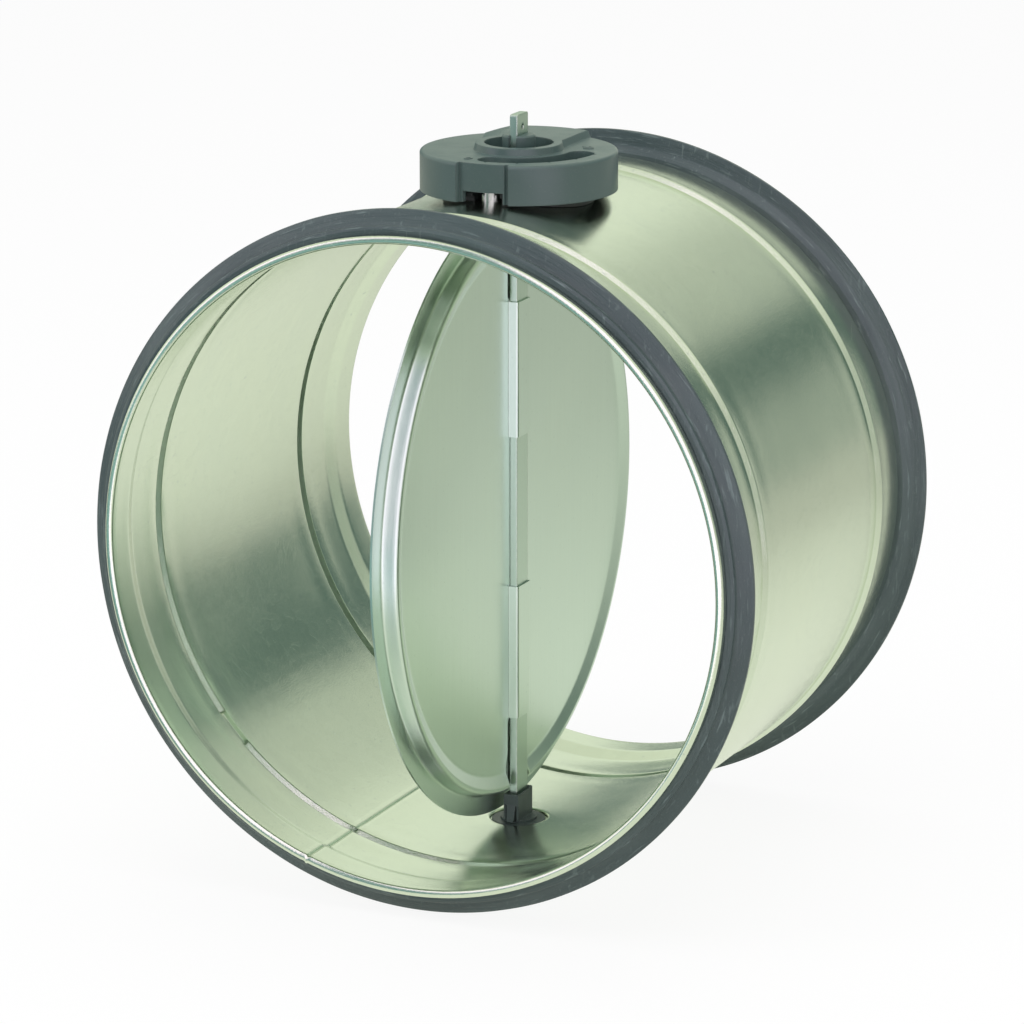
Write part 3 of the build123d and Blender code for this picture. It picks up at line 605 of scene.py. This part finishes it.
def buildCasing(shape):
    length = (casingHigh.y - casingLow.y) / mm
    tube = casingHigh.x / mm - shape["standOff"] - shape["wall"] / 2
    start, middleY = casingLow.y / mm, shaftY / mm
    rows, columns = casingRows(shape, tube, length), casingColumns(shape)
    form = bmesh.new()
    grid = []
    for along, radius in rows:
        ring = []
        for angle in columns:
            reach = radius + casingSwell(shape, along, length, angle, radius, tube)
            turn = math.radians(angle)
            ring.append(form.verts.new((reach * math.cos(turn), start + along, reach * math.sin(turn))))
        grid.append(ring)
    # the bearings' seats take the place of a square of cells at the crown and at the foot
    strays = [abs(start + along - middleY) + abs(radius - tube) for along, radius in rows]
    mid = strays.index(min(strays))
    cells = shape["patchCells"]
    squares = []
    for crown in (90, -90):
        centre = min(range(len(columns)), key=lambda index: abs(columns[index] - crown))
        squares.append((mid - cells, mid + cells, centre - cells, centre + cells))
    count = len(columns)
    for row in range(len(rows) - 1):
        for column in range(count):
            if any(top <= row < end and left <= column < right for top, end, left, right in squares):
                continue
            after = (column + 1) % count
            form.faces.new((grid[row][column], grid[row][after], grid[row + 1][after], grid[row + 1][column]))
    for side, (top, end, left, right) in zip((1, -1), squares):
        edge = [grid[top][c] for c in range(left, right)] + [grid[r][right] for r in range(top, end)]
        edge += [grid[end][c] for c in range(right, left, -1)] + [grid[r][left] for r in range(end, top, -1)]
        seatLevel = tube + shape["seatDepth"]
        rim = shape["seatRadius"]
        rings = [(shape["holeRadius"], 1, 0)]
        rings += [(rim + offset, sunk, 0) for offset, sunk in shape["seatSteps"]]
        rings += [(0, 0, 0.5)]
        bands = []
        for radius, sunk, square in rings:
            band = []
            for vertex in edge:
                flat = Vector((vertex.co.x, vertex.co.y - middleY))
                spot = flat.normalized() * (radius or rim + shape["seatSteps"][-1][0])
                spot = spot.lerp(flat, square)
                wall = math.sqrt(tube ** 2 - spot.x ** 2)
                height = wall + (seatLevel - wall) * sunk
                band.append(form.verts.new((spot.x, middleY + spot.y, side * height)))
            bands.append(band)
        bands.append(edge)
        for inner, outer in zip(bands, bands[1:]):
            for index in range(len(edge)):
                after = (index + 1) % len(edge)
                form.faces.new((inner[index], outer[index], outer[after], inner[after]))
        bmesh.ops.delete(form, geom=[grid[r][c] for r in range(top + 1, end) for c in range(left + 1, right)],
                         context="VERTS")
    bmesh.ops.recalc_face_normals(form, faces=form.faces)
    return finishMesh("casingSheet", form, casingMaterial, "casing_assembly", "casing",
                      wall=shape["wall"], sharp=50)


buildCasing(casingShape)
print("casing built")

# gaskets: a double lip of rubber, folded lips rounded, a little uneven round the duct
gasketShape = {"fromEnd": 10.5, "land": 1.5, "height": 8.5, "lipHeight": 3.0, "columns": 288,
               "uneven": 0.16, "foot": 1.8, "back": 14.7, "lip": 4.0, "lipWall": 1.2, "lipLand": (0.6, 1.7),
               "valley": (2.8, 1.5), "slope": (1.9, 5.6), "heel": 2.4, "clearance": 0.05}


def gasketLine(shape, tube, seat, hem):
    # section as (distance from the end face, radius), closed
    crest, lip = shape["fromEnd"], shape["lip"]
    top = tube + shape["height"]
    low = tube + shape["lipHeight"]
    landStart, landEnd = shape["lipLand"]
    valley, slope = shape["valley"], shape["slope"]
    points = [(shape["foot"], seat), (shape["foot"], hem), (lip, hem), (lip, low - shape["lipWall"]),
              (lip + landStart, low), (lip + landEnd, low), (lip + valley[0], low - valley[1]),
              (crest - shape["land"] / 2, top), (crest + shape["land"] / 2, top),
              (crest + slope[0], top - slope[1]), (shape["back"], seat + shape["heel"]),
              (shape["back"], seat)]
    bends = [0.05, 0.1, 0.3, 0.35, 0.45, 0.9, 0.32, 0.32, 1.6, 0.6]
    return spreadLine(roundedLine(points, bends, 4), 1.6)


def buildGasket(shape, name, endFace, inward):
    low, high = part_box(name)
    top = high.x / mm
    tube = top - shape["height"]
    seat = tube - casingShape["hemDepth"] + casingShape["wall"] + shape["clearance"]
    hem = tube - casingShape["wall"] - shape["clearance"]
    line = gasketLine(shape, tube, seat, hem)
    form = bmesh.new()
    grid = []
    for column in range(shape["columns"]):
        turn = 2 * math.pi * column / shape["columns"]
        around = Vector((math.cos(turn), math.sin(turn), endFace * 0.01))
        wave = shape["uneven"] * (noise.noise(around * 1.7) - 0.9)
        nick = 0.35 * shape["uneven"] * (noise.noise(around * 9) - 0.5)
        ring = []
        for along, radius in line:
            free = smooth(tube, top, radius)
            reach = radius + free * (wave + nick)
            lean = 0.8 * free * (wave + shape["uneven"])
            place = endFace + inward * (along + lean * 0.5)
            ring.append(form.verts.new((reach * math.cos(turn), place, reach * math.sin(turn))))
        grid.append(ring)
    count = len(line)
    for column in range(shape["columns"]):
        after = (column + 1) % shape["columns"]
        for index in range(count):
            follow = (index + 1) % count
            here, there = grid[column], grid[after]
            form.faces.new((here[index], here[follow], there[follow], there[index]))
    bmesh.ops.recalc_face_normals(form, faces=form.faces)
    return finishMesh(name.replace("_g", "G") + "Rubber", form, gasketMaterial, "casing_assembly", name,
                      sharp=60)


buildGasket(gasketShape, "front_gasket", casingLow.y / mm, 1)
buildGasket(gasketShape, "rear_gasket", casingHigh.y / mm, -1)
print("gaskets built")

# blade: a pressed disc with a ridge, a stepped rim and two straps over the bar
bladeShape = {"wall": 0.8, "rimWidth": 8.6, "rimDrop": 4.1, "stepWidth": 0.9, "ridgeHeight": 2.0,
              "ridgeWidth": 6.5, "ridgeCrest": 1.6, "ringStart": 97.0, "strapFrom": 29.5, "strapTo": 82.0,
              "strapHalf": 5.45, "strapFoot": 5.75, "windowHalf": 7.4, "strapRise": 3.9,
              "channel": 0.5, "channelHalf": 5.5, "channelEdge": 7.3, "fieldWave": 0.12,
              "strapSteps": 18, "fieldStep": 8.4, "fieldMargin": 4, "besideBar": 12}


def bladeHeight(shape, across, up, plain):
    # the sheet's height where the plain pressing would give plain
    beside = abs(across)
    corner = 2.4 * smooth(96, 103, math.hypot(across, up))
    channel = 1 - smooth(shape["channelHalf"] + corner * 0.4, shape["channelEdge"] + corner, beside)
    channel *= smooth(shape["strapTo"] + 0.2, shape["strapTo"] + 2.5, abs(up))
    lowered = min(plain, -shape["channel"])
    wave = shape["fieldWave"] * noise.noise(Vector((across * 0.018, up * 0.012, 4)))
    wave *= smooth(8, 24, beside) * (1 - smooth(92, 104, math.hypot(across, up)))
    return plain + (lowered - plain) * channel + wave


def buildBlade(shape):
    edge = (bladeHigh.z - bladeLow.z) / 2 / mm
    level = bladeHigh.x / mm - shape["wall"] / 2 - shape["strapRise"]
    middleY = shaftY / mm
    ridge = edge - shape["rimWidth"] - shape["stepWidth"]
    line = [(shape["ringStart"], 0), (ridge - shape["ridgeWidth"], 0),
            (ridge - shape["ridgeCrest"], shape["ridgeHeight"]), (ridge, shape["ridgeHeight"]),
            (ridge + shape["stepWidth"], -shape["rimDrop"]), (edge - shape["wall"] / 2, -shape["rimDrop"])]
    section = spreadLine(roundedLine(line, [5.0, 1.0, 1.0, 1.4], 6), 1.2)
    fine = [90 + 0.3 * step for step in range(-22, 23)]
    angles = [1.5 * step for step in range(240) if abs((1.5 * step) % 180 - 90) > 7]
    angles = sorted(angles + fine + [angle + 180 for angle in fine])
    form = bmesh.new()

    def place(across, up, plain):
        return form.verts.new((level + bladeHeight(shape, across, up, plain), middleY + across, up))

    rings = []
    for radius, plain in section:
        turns = [math.radians(angle) for angle in angles]
        rings.append([place(radius * math.cos(turn), radius * math.sin(turn), plain) for turn in turns])
    count = len(angles)
    for inner, outer in zip(rings, rings[1:]):
        for index in range(count):
            after = (index + 1) % count
            form.faces.new((inner[index], inner[after], outer[after], outer[index]))
    # field inside the rings, with a window behind each strap
    low, high, steps = shape["strapFrom"], shape["strapTo"], shape["strapSteps"]
    stations = [low + (high - low) * step / steps for step in range(steps + 1)]
    half = shape["windowHalf"]
    spots = [Vector((vertex.co.y - middleY, vertex.co.z)) for vertex in rings[0]]
    edges = [(index, (index + 1) % count) for index in range(count)]
    for side in (1, -1):
        outline = [(half, side * up) for up in stations]
        outline += [(half * step / 6, side * shape["strapTo"]) for step in range(5, -6, -1)]
        outline += [(-half, side * up) for up in reversed(stations)]
        outline += [(half * step / 6, side * shape["strapFrom"]) for step in range(-5, 6)]
        first = len(spots)
        spots += [Vector(point) for point in outline]
        edges += [(first + index, first + (index + 1) % len(outline)) for index in range(len(outline))]
        for across in (5.2, 5.6, 6.0, 6.4, 6.8, 7.2, 7.6, 8.2):
            for step in range(1, 9):
                up = side * (shape["strapTo"] + 1.6 * step)
                spots += [Vector((across, up)), Vector((-across, up))]
    step, reach = shape["fieldStep"], shape["ringStart"] - shape["fieldMargin"]
    for column in range(-11, 12):
        for row in range(-11, 12):
            spot = Vector((step * column + (step / 2 if row % 2 else 0), step * row))
            if spot.length < reach and abs(spot.x) >= shape["besideBar"]:
                spots.append(spot)
    flat, _, cells = delaunay_2d_cdt(spots, edges, [], 0, 0.001)[:3]
    made = [place(spot.x, spot.y, 0) for spot in flat]
    for cell in cells:
        middle = sum((flat[index] for index in cell), Vector((0, 0))) / len(cell)
        inWindow = abs(middle.x) < half and shape["strapFrom"] < abs(middle.y) < shape["strapTo"]
        if middle.length < shape["ringStart"] and not inWindow:
            form.faces.new([made[index] for index in cell])
    # straps
    rise, foot, top = shape["strapRise"], shape["strapFoot"], shape["strapHalf"]
    across = roundedLine([(-half, 0), (-foot, 0), (-top, rise), (top, rise), (foot, 0), (half, 0)],
                         [0.5, 0.45, 0.45, 0.5], 4)
    across = spreadLine(across, 0.6)
    for side in (1, -1):
        strips = [[form.verts.new((level + high, middleY + aside, side * up)) for aside, high in across]
                  for up in stations]
        for low, high in zip(strips, strips[1:]):
            for index in range(len(across) - 1):
                form.faces.new((low[index], low[index + 1], high[index + 1], high[index]))
    bmesh.ops.remove_doubles(form, verts=form.verts, dist=0.0005)
    bmesh.ops.delete(form, geom=[vertex for vertex in form.verts if not vertex.link_faces], context="VERTS")
    bmesh.ops.recalc_face_normals(form, faces=form.faces)
    return finishMesh("bladePlate", form, bladeMaterial, "blade_assembly", "blade",
                      wall=shape["wall"], sharp=50)


buildBlade(bladeShape)
print("blade built")

# raised numbers at the two ends of the knob's scale
scaleMarks = {"size": 5.6, "rise": 0.22, "stepDown": 5.7,
              "marks": [("0", -108, 28.5, -108 + 90), ("90", 27, 25.9, 27 - 90)]}


def buildScaleMarks(shape):
    level = knobHigh.z - shape["stepDown"] * mm
    for text, bearing, reach, facing in shape["marks"]:
        curve = bpy.data.curves.new("scaleMark" + text, "FONT")
        curve.body = text
        curve.size = shape["size"] * mm
        curve.extrude = shape["rise"] * mm
        curve.bevel_depth = 0.08 * mm
        curve.align_x = "CENTER"
        curve.align_y = "CENTER"
        mark = bpy.data.objects.new("scaleMark" + text, curve)
        turn = math.radians(bearing)
        mark.location = (reach * mm * math.cos(turn), shaftY + reach * mm * math.sin(turn), level)
        mark.rotation_euler = (0, 0, math.radians(facing))
        scene.collection.objects.link(mark)
        curve.materials.append(knobMaterial)
        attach(mark, "blade_assembly")


buildScaleMarks(scaleMarks)
print("scale marks built")

# studio: pale floor, white surround, soft lamps
studio = {"floorSize": 6.0, "floorSeen": 0.86, "floorGap": 0.0004, "ambient": 0.6,
          "fade": (0.25, 0.9), "nearFloor": 0.88, "farFloor": 0.58, "floorTone": (0.956, 1.0, 0.845),
          "frontEdge": (-0.25, -0.5), "frontTone": (1.1, 0.98, 1.12), "frontGlow": 0.9,
          "leftEdge": (0.02, -0.1), "nearEdge": (-0.12, -0.22), "leftTone": (0.19, 0.32, 0.31),
          "backTone": (1.5, 1.3, 1.5), "bandTone": (0.122, 0.18, 0.155), "wallTone": (0.51, 0.56, 0.465),
          "sideTone": (0.86, 0.92, 0.76), "ceilingTone": (0.77, 0.82, 0.66),
          "lamps": [("topSoft", (0.1, 0.1, 1.6), (0, 0.09, 0), 1.4, 9.0),
                    ("leftSoft", (-1.5, -1.2, 1.3), (0, 0.05, 0), 1.0, 7.0),
                    ("frontSoft", (1.2, -2.2, 0.7), (0, 0.05, 0), 0.9, 5.0)]}
# the room that metal mirrors: shares of a direction, and what the ramp between them gives
room = {"low": (0.865, 0.92, -0.15, 0.11), "lowSoft": 0.08, "high": (0.92, 0.968, 0.47, 0.325),
        "highSoft": 0.09, "lean": (-0.25, 0.15, -0.17, 0), "ahead": (0.3, 0.65), "behind": (-0.2, -0.55),
        "leftward": (-0.06, -0.2), "farLeft": (-0.5, -0.75, 1, 0), "aside": (-0.22, 0.08, 1, 0),
        "aloft": (0.42, 0.7)}


def buildFloor():
    # white to the eye and bright to metal, dimmer far off, and it keeps a trace of shadow
    level = cadBox[0][2] - studio["floorGap"]
    bpy.ops.mesh.primitive_plane_add(size=studio["floorSize"], location=(0, shaftY, level))
    floor = bpy.context.object
    floor.name = "studioFloor"
    material, tree, shader = newMaterial("studioFloor")
    shader.inputs["Base Color"].default_value = (0.9, 0.9, 0.9, 1)
    shader.inputs["Roughness"].default_value = 0.9
    shader.inputs["Specular IOR Level"].default_value = 0.0
    place = addNode(tree, "TexCoord", (-900, -400))
    distance = addNode(tree, "VectorMath", (-700, -400), operation="LENGTH")
    fade = addRamp(tree, (-500, -400), (*studio["fade"], studio["nearFloor"], studio["farFloor"]))
    mirrored = addNode(tree, "Emission", (0, -450), {"Strength": 1.0})
    spot = addNode(tree, "SeparateXYZ", (-700, -650))
    front = addRamp(tree, (-500, -650), studio["frontEdge"], "SMOOTHSTEP")
    left = addRamp(tree, (-500, -900), studio["leftEdge"], "SMOOTHSTEP")
    leftFront = addNode(tree, "Math", (-300, -900), operation="MULTIPLY")
    nearFront = addRamp(tree, (-500, -1150), studio["nearEdge"])
    glow = addNode(tree, "Math", (-300, -550), {1: studio["frontGlow"]}, operation="MULTIPLY_ADD")
    pale = mixColor(tree, (-300, -700), studio["floorTone"], studio["frontTone"])
    tinted = mixColor(tree, (-150, -750), studio["floorTone"], studio["leftTone"])
    seen = addNode(tree, "Emission", (0, -300), {"Color": (1, 1, 1, 1), "Strength": 1.03})
    rays = addNode(tree, "LightPath", (-400, 300))
    share = addNode(tree, "Math", (100, 300), {1: studio["floorSeen"]}, operation="MULTIPLY")
    cameraMix = addNode(tree, "MixShader", (500, 0))
    glossyMix = addNode(tree, "MixShader", (700, 0))
    wire(tree, (place, "Object", distance, 0), (distance, "Value", fade, "Value"),
         (place, "Object", spot, 0), (spot, "Y", front, "Value"), (spot, "X", left, "Value"),
         (spot, "Y", nearFront, "Value"), (left, "Result", leftFront, 0),
         (nearFront, "Result", leftFront, 1), (front, "Result", glow, 0), (fade, "Result", glow, 2),
         (glow, 0, mirrored, "Strength"), (front, "Result", pale, "Factor"),
         (pale, "Result", tinted, "A"), (leftFront, 0, tinted, "Factor"),
         (tinted, "Result", mirrored, "Color"), (rays, "Is Camera Ray", share, 0),
         (share, 0, cameraMix, 0), (shader, 0, cameraMix, 1), (seen, 0, cameraMix, 2),
         (rays, "Is Glossy Ray", glossyMix, 0), (cameraMix, 0, glossyMix, 1),
         (mirrored, 0, glossyMix, 2), (glossyMix, 0, tree.nodes["Material Output"], 0))
    floor.data.materials.append(material)


def buildWorld():
    world = bpy.data.worlds.new("studioWorld")
    scene.world = world
    world.use_nodes = True
    tree = world.node_tree
    output = tree.nodes["World Output"]
    plain = tree.nodes["Background"]
    plain.inputs["Color"].default_value = (1, 1, 1, 1)
    plain.inputs["Strength"].default_value = studio["ambient"]

    def ranged(place, span):
        return addRamp(tree, place, span, "SMOOTHSTEP")

    # a dim band of the room above the floor, higher to one side, then pale walls and a ceiling
    place = addNode(tree, "TexCoord", (-1900, 0))
    split = addNode(tree, "SeparateXYZ", (-1700, 0))
    level = addNode(tree, "VectorMath", (-1700, -300), {1: (1, 1, 0)}, operation="MULTIPLY")
    heading = addNode(tree, "VectorMath", (-1500, -300), operation="NORMALIZE")
    turned = addNode(tree, "SeparateXYZ", (-1300, -300))
    low = ranged((-1100, -200), room["low"])
    high = ranged((-1100, -500), room["high"])
    lowEdge = addNode(tree, "Math", (-900, -200), {1: room["lowSoft"]}, operation="ADD")
    lean = ranged((-1100, -800), room["lean"])
    top = addNode(tree, "Math", (-1000, -650), operation="ADD")
    highEdge = addNode(tree, "Math", (-900, -500), {1: room["highSoft"]}, operation="SUBTRACT")
    rise = ranged((-700, -100), (0, 1))
    fall = ranged((-700, -400), (0, 1))
    ahead = ranged((-700, -700), room["ahead"])
    edges = addNode(tree, "Math", (-550, -250), operation="MULTIPLY")
    band = addNode(tree, "Math", (-450, -450), operation="MULTIPLY")
    behind = ranged((-900, 900), room["behind"])
    leftward = ranged((-1000, 1200), room["leftward"])
    farLeft = ranged((-1000, 1450), room["farLeft"])
    leftShare = addNode(tree, "Math", (-800, 1300), operation="MULTIPLY")
    back = mixColor(tree, (-450, 900), studio["backTone"], studio["leftTone"])
    whole = mixColor(tree, (50, 400), studio["wallTone"], studio["backTone"])
    aside = ranged((-900, 300), room["aside"])
    aloft = ranged((-900, 600), room["aloft"])
    walls = mixColor(tree, (-450, 300), studio["wallTone"], studio["sideTone"])
    upper = mixColor(tree, (-250, 300), studio["wallTone"], studio["ceilingTone"])
    banded = mixColor(tree, (-50, 200), studio["wallTone"], studio["bandTone"])
    shown = addNode(tree, "Background", (200, -100), {"Strength": 1.0})
    white = addNode(tree, "Background", (200, 300), {"Strength": 1.0})
    rays = addNode(tree, "LightPath", (200, 600))
    glossy = addNode(tree, "MixShader", (450, 0))
    seen = addNode(tree, "MixShader", (650, 100))
    wire(tree, (place, "Generated", split, 0), (place, "Generated", level, 0), (level, 0, heading, 0),
         (heading, 0, turned, 0), (turned, "Y", low, "Value"), (turned, "Y", high, "Value"),
         (low, "Result", lowEdge, 0), (turned, "X", lean, "Value"), (high, "Result", top, 0),
         (lean, "Result", top, 1), (top, 0, highEdge, 0), (split, "Z", rise, "Value"),
         (low, "Result", rise, "From Min"), (lowEdge, 0, rise, "From Max"), (split, "Z", fall, "Value"),
         (top, 0, fall, "From Min"), (highEdge, 0, fall, "From Max"), (rise, "Result", edges, 0),
         (fall, "Result", edges, 1), (turned, "Y", ahead, "Value"), (edges, 0, band, 0),
         (ahead, "Result", band, 1), (turned, "X", aside, "Value"), (aside, "Result", walls, "Factor"),
         (split, "Z", aloft, "Value"), (aloft, "Result", upper, "Factor"),
         (walls, "Result", upper, "A"), (upper, "Result", banded, "A"), (band, 0, banded, "Factor"),
         (turned, "X", leftward, "Value"), (turned, "X", farLeft, "Value"),
         (leftward, "Result", leftShare, 0), (farLeft, "Result", leftShare, 1),
         (leftShare, 0, back, "Factor"), (turned, "Y", behind, "Value"),
         (behind, "Result", whole, "Factor"), (banded, "Result", whole, "A"),
         (back, "Result", whole, "B"), (whole, "Result", shown, "Color"),
         (rays, "Is Glossy Ray", glossy, 0), (plain, 0, glossy, 1), (shown, 0, glossy, 2),
         (rays, "Is Camera Ray", seen, 0), (glossy, 0, seen, 1), (white, 0, seen, 2),
         (seen, 0, output, 0))


def addLamp(name, place, target, size, power):
    data = bpy.data.lights.new(name, "AREA")
    data.shape = "SQUARE"
    data.size = size
    data.energy = power
    lamp = bpy.data.objects.new(name, data)
    lamp.location = place
    lamp.rotation_euler = (Vector(target) - Vector(place)).to_track_quat("-Z", "Y").to_euler()
    lamp.visible_glossy = False
    scene.collection.objects.link(lamp)


buildFloor()
buildWorld()
for lamp in studio["lamps"]:
    addLamp(*lamp)
print("studio built")
